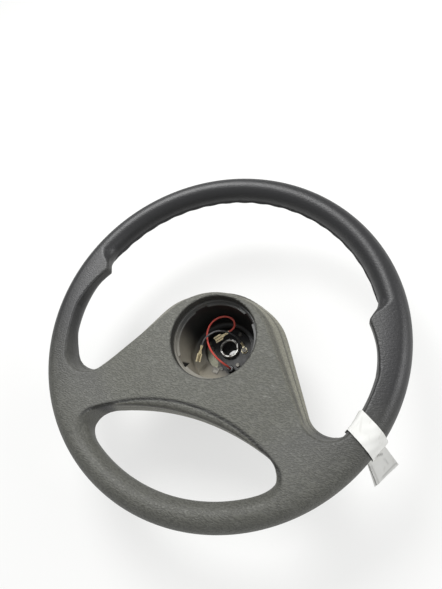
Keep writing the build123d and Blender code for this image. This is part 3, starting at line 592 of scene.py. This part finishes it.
def plate_field(x, y, z):
    """Distance to the dished plate of hub and spokes: level front and back that ease up into the rim,
    rounded edges, more so on the grips, a shallow line along the arch and one round the flank."""
    r = np.hypot(x, y)
    depth = (FACE_Z - z) / (FACE_Z - BACK_Z)
    lift = ease((r - FLAT_R) / (RIM_R - FLAT_R))
    grip = ease((r - GRIP_FROM_R) / GRIP_RUN_R) * ease((y - GRIP_FROM_Y) / GRIP_RUN_Y)
    front = z - FACE_Z - lift * (RIM_Z + RIM_HALF - FACE_Z)
    back = BACK_Z + lift * (RIM_Z - RIM_HALF - BACK_Z) + GRIP_LIFT * grip - z
    upper, lower, crease = upper_plan(x, y, z), lower_plan(x, y, depth), crease_plan(x, y)
    bump = ease((np.arctan2(y, np.abs(x)) - radians(BUMP_DEG)) / radians(NOTCH_DEG))
    bump_lip = (BUMP_LIP_R + BUMP_ROOT_R * ease((r - BUMP_ROOT_FROM) / BUMP_ROOT_RUN)) * bump
    plate = rounded_both(front, upper, LIP_R + (GRIP_LIP_R - LIP_R + bump_lip) * grip)
    over = over_arch(x, y)
    arch_lip = np.clip(crease - lower, ARCH_LIP_MIN_R, ARCH_LIP_R)
    plate = rounded_both(plate, lower, ARCH_LIP_R + over * (arch_lip - ARCH_LIP_R))
    arch_line = np.exp(-(crease / ARCH_LINE_W) ** 2) * ease((front + LINE_REACH) / LINE_FADE) * over
    flank_line = np.exp(-((z - PARTING_Z) / PARTING_W) ** 2) * ease((upper + LINE_REACH) / LINE_FADE)
    plate = plate + ARCH_LINE_DEPTH * arch_line + PARTING_DEPTH * flank_line * (1 - grip)
    plate = rounded_both(plate, back, BACK_LIP_R + (GRIP_BACK_R - BACK_LIP_R) * grip)
    return np.maximum(plate, r - RIM_R)


def bell_field(x, y, z):
    """Distance to the bell: round sections whose size and place follow a parabola through three rings,
    scaled for the lean of its side."""
    heights, radii, places = np.array(BELL_RINGS).T
    radius = np.polyval(np.polyfit(heights, radii, 2), z)
    place = np.polyval(np.polyfit(heights, places, 2), z)
    bell = (np.hypot(x, y - place) - radius) * BELL_LEAN
    return np.maximum(rounded_both(bell, heights[0] - z, BELL_END_R), z - heights[-1] - BELL_OVERLAP)


def recess_field(x, y, z):
    """Distance to the space of the horn recess: its mouth, and the cup's tapered room below."""
    r = np.hypot(x, y - RECESS_Y)
    foot = FLOOR_Z - CUP_WALL
    taper = (CUP_R - CUP_FOOT_R) / (CUP_TOP_Z - foot)
    mouth = np.maximum(r - MOUTH_R, CUP_TOP_Z - MOUTH_OVERLAP - z)
    cup = np.maximum(r - CUP_R + taper * (CUP_TOP_Z - z), np.maximum(foot - z, z - CUP_TOP_Z))
    return np.minimum(mouth, cup)


def cover_field(x, y, z):
    """Distance to the foam cover: rim and plate, with a fillet between them that ends below the rim's
    crest, and the bell, less the recess, the well and the rear hollow."""
    inset, outward = -upper_plan(x, y, z) / CREST_INSET, (np.hypot(x, y) - CREST_FROM_R) / CREST_RUN
    crest = np.maximum(ease(inset), ease(outward)) * ease((z - RIM_Z - CREST_LIFT) / CREST_RUN)
    body = rounded_either(rim_field(x, y, z), plate_field(x, y, z), RIM_BLEND_R * (1 - crest))
    body = rounded_either(body, bell_field(x, y, z), BELL_ROOT_R)
    body = rounded_both(body, -recess_field(x, y, z), MOUTH_LIP_R)
    lobe = np.hypot(x - POST_AT[0], y - POST_AT[1]) - POST_R - POST_GAP
    well = np.minimum(np.hypot(x, y - WELL_Y) - WELL_R, lobe)
    well = np.maximum(well, np.maximum(z - FLOOR_Z, PLATE_Z - z))
    rear = np.maximum(np.hypot(x, y) - BACK_WELL_R, z - PLATE_TOP_Z)
    return np.maximum(body, np.maximum(-well, -rear))


def slope_of(field, points, reach=0.05):
    """The direction in which a field grows, by differences across a short reach."""
    steps = np.eye(3) * reach
    rises = [field(*(points + step).T) - field(*(points - step).T) for step in steps]
    slope = np.stack(rises, 1)
    return slope / np.maximum(np.linalg.norm(slope, axis=1), 1e-9)[:, None]


def skin_of(field, low, high, step):
    """The surface where a field is zero, as quads: each grid cell that it crosses gets one point, at
    the mean of the crossings on the cell's edges, which then moves along the slope onto the surface."""
    axes = [np.arange(a, b + step, step) for a, b in zip(low, high)]
    value = field(*np.meshgrid(*axes, indexing="ij"))
    inside = value < 0
    shape = tuple(n - 1 for n in value.shape)
    corners = np.array(list(product((0, 1), repeat=3)))

    def corner(array, offset):
        return array[tuple(slice(o, o + n) for o, n in zip(offset, shape))]

    count = sum(corner(inside, offset).astype(np.int8) for offset in corners)
    active = (count > 0) & (count < 8)
    number = np.full(shape, -1)
    number[active] = np.arange(active.sum())
    values = np.stack([corner(value, offset)[active] for offset in corners], 1)
    total = np.zeros((len(values), 3))
    weight = np.zeros(len(values))
    for a, b in product(range(8), repeat=2):
        if a < b and np.abs(corners[a] - corners[b]).sum() == 1:
            va, vb = values[:, a], values[:, b]
            crossed = (va < 0) != (vb < 0)
            share = np.where(crossed, va / np.where(crossed, va - vb, 1), 0)[:, None]
            total += crossed[:, None] * (corners[a] + share * (corners[b] - corners[a]))
            weight += crossed
    cells = np.argwhere(active)
    points = np.array(low) + step * (cells + total / weight[:, None])
    for _ in range(3):
        slope = slope_of(field, points)
        move = np.clip(field(*points.T), -0.5 * step, 0.5 * step)
        points = points - move[:, None] * slope
    faces = []
    for axis in range(3):
        u, v = (axis + 1) % 3, (axis + 2) % 3
        first = np.take(inside, range(value.shape[axis] - 1), axis)
        second = np.take(inside, range(1, value.shape[axis]), axis)
        at = np.argwhere(first != second)
        at = at[(at[:, u] > 0) & (at[:, v] > 0) & (at[:, u] < shape[u]) & (at[:, v] < shape[v])]
        out = first[tuple(at.T)]
        ring = []
        for du, dv in ((-1, -1), (0, -1), (0, 0), (-1, 0)):
            cell = at.copy()
            cell[:, u] += du
            cell[:, v] += dv
            ring.append(number[tuple(cell.T)])
        quad = np.stack(ring, 1)
        faces.append(np.where(out[:, None], quad, quad[:, ::-1]))
    return points, np.concatenate(faces)


def make_cover():
    """The foam cover as one skin, with marks for where its finish changes: how pale it is, the lower rim
    paler as painted light, how steep its flank is, for the flank's painted light, how far each point lies
    from the crease over the lower opening and whether it lies above that, and the recess's mouth wall,
    painted dark as painted shade."""
    points, faces = skin_of(cover_field, COVER_LOW, COVER_HIGH, COVER_STEP)
    normals = slope_of(cover_field, points)
    x, y, z = points.T
    r = np.hypot(x, y)
    from_mouth = np.hypot(x, y - RECESS_Y) - MOUTH_R
    on_plate = ease((PLATE_NEAR - plate_field(x, y, z)) / PLATE_NEAR)
    spoke = on_plate * (1 - ease((r - PALE_FROM_R) / PALE_RUN_R))
    # Painted light: the lower rim is painted paler towards its bottom
    low_rim_light = LOW_RIM_PALE * ease((LOW_RIM_FROM_Y - y) / LOW_RIM_RUN_Y)
    steep = 1 - ease((np.abs(normals[:, 2]) - STEEP_FROM) / STEEP_RUN)
    outside = ease((from_mouth - FLANK_CLEAR) / FLANK_CLEAR)
    marks = {
        "pale": np.maximum(spoke, low_rim_light),
        # Painted light: the flank mark paints the steep sides paler olive
        "flank": steep * on_plate * (1 - ease((r - FLANK_FROM_R) / FLANK_RUN_R)) * outside,
        "arch": crease_plan(x, y),
        "over": over_arch(x, y),
        # Painted shade: the mouth mark darkens the recess's mouth wall
        "mouth": 1 - ease((from_mouth - MOUTH_DARK) / MOUTH_DARK_RUN),
    }
    cover = [node for node, slot in SLOT_OF.items() if slot == "foam_skin"]
    return new_piece("moulded_cover", points, faces, "foam_skin", cover, marks, normals=normals)


def facing_out(points, faces):
    """The faces of a closed mesh, turned round where the volume that they enclose is negative."""
    a, b, c, d = (points[faces[:, k]] for k in range(4))
    volume = (a * np.cross(b, c)).sum() + (a * np.cross(c, d)).sum()
    return faces if volume > 0 else faces[:, ::-1]


def thin_sheet(front, back, close=False):
    """A closed sheet between two grids of points, with caps where its columns don't close."""
    rows, columns = front.shape[:2]
    points = np.concatenate([front, back[::-1]]).reshape(-1, 3)
    faces = [grid_faces(2 * rows, columns, True, close)]
    if not close:
        k = np.arange(rows - 1)
        cap = np.stack([k, k + 1, 2 * rows - 2 - k, 2 * rows - 1 - k], 1) * columns
        faces += [cap, cap[:, ::-1] + columns - 1]
    faces = np.concatenate(faces)
    return points, facing_out(points, faces)


def horn_cup():
    """The cup, turned about its own axis: a profile of radius and height that goes over the rim, round
    the ledge, down the wall, across the floor to the well's edge and back outside. The ledge draws back
    to the wall in its slots, and the floor's hole is the larger reach of two circles."""
    angle = np.linspace(0, 2 * pi, 720, endpoint=False)
    off = np.degrees(angle)[:, None] - np.array(SLOT_DEGS)
    off = np.abs((off + 180) % 360 - 180).min(1)
    slot = 1 - ease((off - SLOT_HALF) / SLOT_EDGE)
    taper = (CUP_R - CUP_FOOT_R) / (CUP_TOP_Z - FLOOR_Z + CUP_WALL)

    def wall(z):
        """The radius of the inner wall."""
        return CUP_R - CUP_WALL - taper * (CUP_TOP_Z - z)

    def reach(place, radius):
        """How far a circle reaches from the cup's axis at each angle, 0 where it isn't met."""
        along = place[0] * np.cos(angle) + (place[1] - RECESS_Y) * np.sin(angle)
        aside = place[1] - RECESS_Y
        rest = radius ** 2 - (place[0] ** 2 + aside ** 2 - along ** 2)
        return np.where(rest > 0, along + np.sqrt(np.maximum(rest, 0)), 0)

    def notch(z):
        """The depth of the three-cornered notch in the wall: how far a point lies inside all its sides."""
        flat = np.array([(radians(turn) * CUP_FOOT_R, level) for turn, level in CUP_NOTCH])
        ahead = np.roll(flat, -1, 0) - flat
        ahead /= np.hypot(*ahead.T)[:, None]
        across = [(angle * CUP_FOOT_R - a) * v - (z - b) * u for (a, b), (u, v) in zip(flat, ahead)]
        within = np.maximum(np.min(across, 0), np.min(-np.array(across), 0))
        return CUP_NOTCH_DEPTH * ease(within / CUP_NOTCH_EDGE)

    hole = np.maximum(reach((0.0, WELL_Y), WELL_R), reach(POST_AT, POST_R + POST_GAP))
    ledge_z = CUP_TOP_Z - LEDGE_DROP
    ledge_top = ledge_z + LEDGE_H
    ledge = (CUP_R - CUP_WALL - LEDGE_W) + slot * (LEDGE_W - SLOT_LIP)
    turn = np.linspace(0, pi / 2, 7)
    corner = CUP_CORNER_R - CUP_WALL
    inside, foot = wall(FLOOR_Z + corner) - corner, FLOOR_Z - CUP_WALL
    outside = CUP_FOOT_R - CUP_CORNER_R
    level = [
        (CUP_R - CUP_EDGE, CUP_TOP_Z), (wall(CUP_TOP_Z) + CUP_EDGE, CUP_TOP_Z),
        (wall(CUP_TOP_Z), CUP_TOP_Z - CUP_EDGE),
        (wall(ledge_top), ledge_top), (ledge + CUP_EDGE, ledge_top), (ledge, ledge_top - CUP_EDGE),
        (ledge, ledge_z + CUP_EDGE), (ledge + CUP_EDGE, ledge_z), (wall(ledge_z), ledge_z),
        *((wall(z) + notch(z), z) for z in np.linspace(ledge_z - 2.0, FLOOR_Z + corner + 1.0, 60)),
        *((inside + corner * cos(t), FLOOR_Z + corner - corner * sin(t)) for t in turn),
        (hole + CUP_EDGE, FLOOR_Z), (hole, FLOOR_Z - CUP_EDGE), (hole, foot + HOLE_EDGE), (hole + HOLE_EDGE, foot),
        (outside, foot),
        *((outside + CUP_CORNER_R * sin(t), foot + CUP_CORNER_R - CUP_CORNER_R * cos(t)) for t in turn[1:]),
        (CUP_R, CUP_TOP_Z - CUP_EDGE),
    ]
    radius = np.stack([np.broadcast_to(r, angle.shape) for r, z in level])
    height = np.array([z for r, z in level])[:, None] + 0 * angle
    points = np.stack([radius * np.cos(angle), RECESS_Y + radius * np.sin(angle), height], -1).reshape(-1, 3)
    faces = facing_out(points, grid_faces(len(level), len(angle), True, True))
    dent = np.stack([np.broadcast_to(r, angle.shape) - wall(z) for r, z in level]).ravel()
    on_wall = (points[:, 2] > FLOOR_Z + corner + 0.5) & (points[:, 2] < ledge_z - 1.5)
    # The notch mark paints the notch black as painted shade
    marks = {"notch": ease(dent / 1.2) * (on_wall & (dent < CUP_WALL - 0.3))}
    return new_piece("horn_cup_wall", points, faces, "cup_plastic", ("horn_cup",), marks, crisp=32.0)


def terminal(name, route, facing, lead_d, width, node):
    """A push-on receptacle folded from one sheet. At each station along it the sheet lies flat for some
    way from its middle and then turns up on a radius: it wraps the lead twice, narrows to a neck and
    ends in a blade box with two rolled edges."""
    r = lead_d / 2
    wide, middle, tight = r + 0.25, r + 0.1, r - 0.1
    flat = width / 2 - BOX_FOLD_R
    half_box = flat + 4.2
    # Each station: its place along, the floor's height, half the flat part, fold radius, half the sheet
    stations = np.array([
        (0.0, -wide, 0.2, wide, 0.2 + 2.75 * wide), (2.6, -wide, 0.2, wide, 0.2 + 2.75 * wide),
        (2.9, -wide, 0.2, wide, 0.2 + 1.2 * wide), (3.6, -middle, 0.2, middle, 0.2 + 1.2 * middle),
        (3.9, -r, 0.2, tight, 0.2 + 2.9 * tight), (6.3, -r, 0.2, tight, 0.2 + 2.9 * tight),
        (6.8, -1.3, 0.7, 0.9, 1.5), (9.7, -1.3, 0.9, 0.9, 1.9),
        (BOX_AT, -1.3, flat, BOX_FOLD_R, half_box), (19.1, -1.3, flat, BOX_FOLD_R, half_box),
        (TERMINAL_L, -1.3, flat, 1.3, half_box),
    ])
    along = np.sort(np.concatenate([np.linspace(0, TERMINAL_L, 66), stations[:, 0] + 0.01]))
    floor, level, radius, half = (np.interp(along, stations[:, 0], stations[:, k]) for k in range(1, 5))
    share = np.linspace(-1, 1, 53)[:, None]
    run = np.abs(share) * half
    turn = np.maximum(run - level, 0) / radius
    across = np.sign(share) * (np.minimum(run, level) + radius * np.sin(turn))
    rise = floor + radius * (1 - np.cos(turn))
    before, end = np.array(route[-2:])
    aim = (end - before) / np.linalg.norm(end - before)
    side = np.cross(facing, aim)
    side /= np.linalg.norm(side)
    up = np.cross(aim, side)

    def place(a, b):
        return end + a[..., None] * side + b[..., None] * up + (along + 0 * a)[..., None] * aim

    back = place(across, rise)
    front = place(across - np.sign(share) * TERMINAL_T * np.sin(turn), rise + TERMINAL_T * np.cos(turn))
    points, faces = thin_sheet(front, back)
    # Painted shade: the slit mark darkens the floor just under the rolled edges
    slit_shade = (run > level - 1.4) & (run < level - 0.25) & (along > BOX_AT) & (along < TERMINAL_L - 0.3)
    marks = {"slit_shade": np.concatenate([slit_shade, 0 * slit_shade]).ravel()}
    return new_piece(name, points, faces, "contact_brass", (node,), marks, crisp=50.0)


def bend(before, corner, after, radius, count=9):
    """A fold as a parabola that leaves the two lines at a radius from their corner."""
    before, corner, after = (np.array(p, float) for p in (before, corner, after))
    start = corner + radius * (before - corner) / np.linalg.norm(before - corner)
    end = corner + radius * (after - corner) / np.linalg.norm(after - corner)
    t = np.linspace(0, 1, count)[:, None]
    return (1 - t) ** 2 * start + 2 * t * (1 - t) * corner + t ** 2 * end


def peak(value, place, width):
    """A bell curve round a place."""
    return np.exp(-((value - place) / width) ** 2)


def paper_tag():
    """A strip of paper round the rim and its two stuck ends as a flag. The strip is a loop, half an
    ellipse and two folds, carried across its width with a slant and a slight pucker, and it reaches
    further in towards its upper edge, where the grip does; the flag is two sheets, each ruled between
    four corners and bowed, with dark lines of painted shade where sharp folds lie near two edges and two short
    ones."""
    skew = radians(TAG_SKEW)
    half_w, half_h = RIM_W / cos(skew) + TAG_PLAY, RIM_HALF + TAG_PLAY
    top, bottom = np.array([0, half_h]), np.array([0, -half_h])
    high = np.array([-RIM_W + TAG_PLAY - TAG_TUCK, half_h])
    low = np.array([-RIM_W - TAG_REACH - TAG_PLAY, -half_h - TAG_SAG])
    turn = np.linspace(-pi / 2, pi / 2, 61)
    along = np.linspace(0.04, 0.8, 14)[:, None]
    down = np.linspace(0.15, 0.85, 12)[:, None]
    loop = np.concatenate([
        np.stack([half_w * np.cos(turn), half_h * np.sin(turn)], 1),
        top + along * (high - top),
        bend(top, high, low, TAG_CORNER_R),
        high + down * (low - high),
        bend(high, low, bottom, TAG_CORNER_R),
        low + (along + 0.12) * (bottom - low),
    ])
    ahead, behind = np.roll(loop, -1, 0), np.roll(loop, 1, 0)
    tangent = (ahead - behind) / np.linalg.norm(ahead - behind, axis=1)[:, None]
    normal = np.stack([tangent[:, 1], -tangent[:, 0]], 1)
    slant = np.clip(1 - loop[:, 0] / np.where(loop[:, 1] > 0, high[0], low[0]), 0, 1)
    u = np.linspace(0, 2 * pi, len(loop), endpoint=False)
    v = np.linspace(-1, 1, 25)[:, None]
    pucker = 0.28 * np.sin(7 * u + 2.2 * v) * np.sin(2.1 * v + 3 * u) + 0.22 * v ** 2 * np.cos(5 * u)
    loose = 2.6 * peak(u, 1.05, 0.55) * ease((v + 0.4) / 1.4) + 1.3 * peak(u, 3.35, 0.3) * ease((-v - 0.2) / 0.8)
    pucker = pucker + loose
    hug = TAG_HUG * ((v + 1) / 2) ** 1.4 * ease(-loop[:, 0] / RIM_W)
    height = np.where(loop[:, 1] < 0, TAG_SLACK * loop[:, 1], loop[:, 1])
    height = height - TAG_HUG_DROP * hug * ease((loop[:, 1] - 4.0) / 8.0)
    place, turn_z = radians(TAG_DEG), radians(TAG_DEG) - skew

    def strip(out):
        """The strip's surface at a height above its loop."""
        x = loop[:, 0] - hug - v * slant * TAG_W / 2 * np.tan(skew) + normal[:, 0] * (pucker + out)
        y = v * TAG_W / 2 + 0 * x
        z = height + normal[:, 1] * (pucker + out)
        return np.stack([
            RIM_R * cos(place) + x * cos(turn_z) - y * sin(turn_z),
            RIM_R * sin(place) + x * sin(turn_z) + y * cos(turn_z),
            RIM_Z + z,
        ], -1)

    sheets = [thin_sheet(strip(TAG_T), strip(0.0), True)]
    p = np.linspace(0, 1, 25)[:, None, None]
    q = np.linspace(0, 1, 21)[None, :, None]
    bow = 0.9 * np.sin(pi * p) * (0.6 + 0.4 * np.cos(3.0 * q)) - 0.5 * np.sin(pi * q) * p
    for a, b, c, d in np.array(FLAG_CORNERS):
        level = (1 - p) * ((1 - q) * a + q * b) + p * ((1 - q) * d + q * c) + bow * np.array([0.0, 0.0, 1.0])
        sheets.append(thin_sheet(level, level - np.array([0.0, 0.0, TAG_T])))
    starts = np.cumsum([0] + [len(points) for points, faces in sheets])
    points = np.concatenate([points for points, faces in sheets])
    faces = np.concatenate([faces + start for (_, faces), start in zip(sheets, starts)])
    p, q = p[..., 0], q[..., 0]
    side = peak(q, 0.08, 0.03) * ease((p - 0.3) / 0.1)
    end = peak(p, 0.93, 0.025) * ease((q - 0.2) / 0.2)
    short = peak(p - 0.43 * q, 0.05, 0.03) * ease((q - 0.28) / 0.06) * ease((0.8 - q) / 0.06)
    branch = peak(q - 0.24 * p, 0.59, 0.03) * ease((p - 0.48) / 0.06) * ease((0.8 - p) / 0.06)
    # The fold lines are painted shade: dark lines where sharp folds lie, which the sheets don't have
    folds = 0.6 * (side + end) + short + 0.4 * branch
    plain = np.zeros(starts[1])
    marks = {
        # Painted shade: the crease mark greys the flag, and the strip a little
        "crease": np.concatenate([plain + 0.25, np.ones(len(points) - starts[1])]),
        "fold": np.concatenate([plain] + [np.concatenate([folds, folds[::-1]]).ravel()] * len(FLAG_CORNERS)),
    }
    return new_piece("paper_tag_strip", points, faces, "tag_paper", ("paper_tag",), marks, crisp=50.0)


def lead(name, route, diameter, slot, node):
    """A lead as a round tube along one smooth spline whose control points are the route."""
    curve = bpy.data.curves.new(name, "CURVE")
    curve.dimensions = "3D"
    curve.bevel_depth = diameter / 2 * MM
    curve.bevel_resolution = 4
    curve.resolution_u = 8
    curve.use_fill_caps = True
    spline = curve.splines.new("NURBS")
    spline.points.add(len(route) - 1)
    for point, place in zip(spline.points, route):
        point.co = (*(np.array(place) * MM), 1.0)
    spline.order_u = 3
    spline.use_endpoint_u = True
    curve.materials.append(MATERIALS[slot])
    return put_on_wheel(bpy.data.objects.new(name, curve), (node,))


def studio():
    """A pale floor that looks white but keeps its shadows, an even pale sky and two soft lamps."""
    corners = [(-FLOOR_HALF, -FLOOR_HALF, 0), (FLOOR_HALF, -FLOOR_HALF, 0)]
    corners += [(FLOOR_HALF, FLOOR_HALF, 0), (-FLOOR_HALF, FLOOR_HALF, 0)]
    mesh = bpy.data.meshes.new("floor")
    mesh.from_pydata(corners, [], [(0, 1, 2, 3)])
    f = Finish("floor_paint")
    f.set(Base_Color=(0.80, 0.80, 0.79), Roughness=0.7)
    seen, mirrored, through = (
        f.start.node("ShaderNodeLightPath", out=f"Is {kind} Ray") for kind in ("Camera", "Glossy", "Transmission")
    )
    share = ((seen + mirrored + through) * FLOOR_GLOW).limit()
    glow = f.start.node("ShaderNodeEmission", sockets={"Color": (1.0, 1.0, 0.99, 1.0)})
    paint = Wire(f.tree, f.shader.outputs[0])
    both = f.start.node("ShaderNodeMixShader", sockets={0: share, 1: paint, 2: glow})
    f.tree.links.new(both.socket, f.tree.nodes["Material Output"].inputs["Surface"])
    mesh.materials.append(f.material)
    floor = bpy.data.objects.new("floor", mesh)
    bpy.context.scene.collection.objects.link(floor)
    world = bpy.data.worlds.new("studio")
    bpy.context.scene.world = world
    world.use_nodes = True
    sky = world.node_tree.nodes["Background"]
    sky.inputs["Color"].default_value = (0.98, 0.99, 1.0, 1.0)
    sky.inputs["Strength"].default_value = SKY_STRENGTH
    for name, place, width, power in LAMPS:
        data = bpy.data.lights.new(name, "AREA")
        data.shape = "DISK"
        data.size = width
        data.energy = power
        lamp = bpy.data.objects.new(name, data)
        aim = (Vector(LAMP_TARGET) - Vector(place)).to_track_quat("-Z", "Y")
        lamp.matrix_world = Matrix.Translation(place) @ aim.to_matrix().to_4x4()
        bpy.context.scene.collection.objects.link(lamp)
    bpy.context.scene.view_settings.view_transform = "Standard"


aim_camera()

red_lead = lead("red_lead", RED_ROUTE, RED_D, "red_insulation", "red_wire")
dark_lead = lead("dark_lead", DARK_ROUTE, DARK_D, "dark_insulation", "dark_wire")
red_end = terminal("red_push_on", RED_ROUTE, RED_FACING, RED_D, RED_BLADE_W, "red_terminal")
dark_end = terminal("dark_push_on", DARK_ROUTE, DARK_FACING, DARK_D, DARK_BLADE_W, "dark_terminal")

horn_cup()
paper_tag()
make_cover()

for node, slot in SLOT_OF.items():
    materials = frame["nodes"][node].data.materials
    materials.clear()
    materials.append(MATERIALS[slot])

studio()
